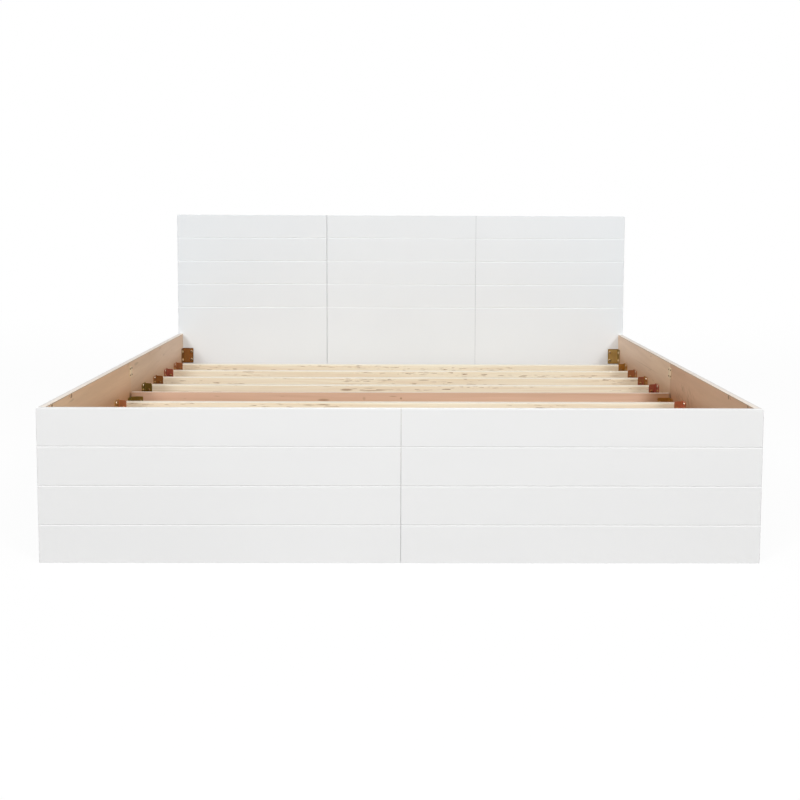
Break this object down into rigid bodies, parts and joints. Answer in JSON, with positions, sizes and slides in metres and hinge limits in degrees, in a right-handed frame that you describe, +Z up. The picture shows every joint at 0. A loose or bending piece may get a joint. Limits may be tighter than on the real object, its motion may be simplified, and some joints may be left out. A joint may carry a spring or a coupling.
{
  "type": "storage bed",
  "caption": "King size knock-down box storage bed frame: grooved headboard and footboard, side rails, bracketed cross slats and a divided storage floor.",
  "frame": {"origin": "on the floor, at the middle of the bed's outline", "axes": "+X across the bed, to the right seen from the foot; +Y from the foot to the head; +Z up"},
  "size_m": [1.865, 2.017, 0.9],
  "materials": {
    "white_panel": "smooth satin white paint on engineered wood",
    "rail_panel": "bare tan veneer inside, satin white paint outside",
    "slat_pine": "planed bare pine with streaky grain",
    "partition_board": "bare reddish board, streaky grain",
    "zinc_steel": "yellow zinc plating, iridescent from olive to red brown",
    "plate_steel": "dull yellow zinc plating",
    "floor_ply": "bare plywood",
    "cleat_pine": "planed bare pine"
  },
  "bodies": {
    "root": {"bearer_foot": "cleat_pine", "bearer_head": "cleat_pine", "centre_partition": "partition_board", "cleat_foot": "cleat_pine", "cleat_head": "cleat_pine", "cleat_partition_foot": "cleat_pine", "cleat_partition_head": "cleat_pine", "cleat_rail_left_foot": "cleat_pine", "cleat_rail_left_head": "cleat_pine", "cleat_rail_right_foot": "cleat_pine", "cleat_rail_right_head": "cleat_pine", "floor_board_left_foot": "floor_ply", "floor_board_left_head": "floor_ply", "floor_board_right_foot": "floor_ply", "floor_board_right_head": "floor_ply", "foot_corner_brackets_left": "zinc_steel", "foot_corner_brackets_right": "zinc_steel", "footboard_joint_plates": "plate_steel", "footboard_left": "white_panel", "footboard_right": "white_panel", "head_corner_brackets_left": "zinc_steel", "head_corner_brackets_right": "zinc_steel", "headboard_joint_plates_left": "plate_steel", "headboard_joint_plates_right": "plate_steel", "headboard_left": "white_panel", "headboard_middle": "white_panel", "headboard_right": "white_panel", "partition_brackets_left": "zinc_steel", "partition_brackets_right": "zinc_steel", "rail_joint_plate_left": "plate_steel", "rail_joint_plate_right": "plate_steel", "rail_left_foot": "rail_panel", "rail_left_head": "rail_panel", "rail_right_foot": "rail_panel", "rail_right_head": "rail_panel", "slat_1": "slat_pine", "slat_1_brackets": "zinc_steel", "slat_2": "slat_pine", "slat_2_brackets": "zinc_steel", "slat_3": "slat_pine", "slat_3_brackets": "zinc_steel", "slat_4": "slat_pine", "slat_4_brackets": "zinc_steel", "slat_5": "slat_pine", "slat_5_brackets": "zinc_steel", "slat_6": "slat_pine", "slat_6_brackets": "zinc_steel", "slat_7": "slat_pine", "slat_7_brackets": "zinc_steel", "slat_8": "slat_pine", "slat_8_brackets": "zinc_steel"}
  },
  "joints": []
}
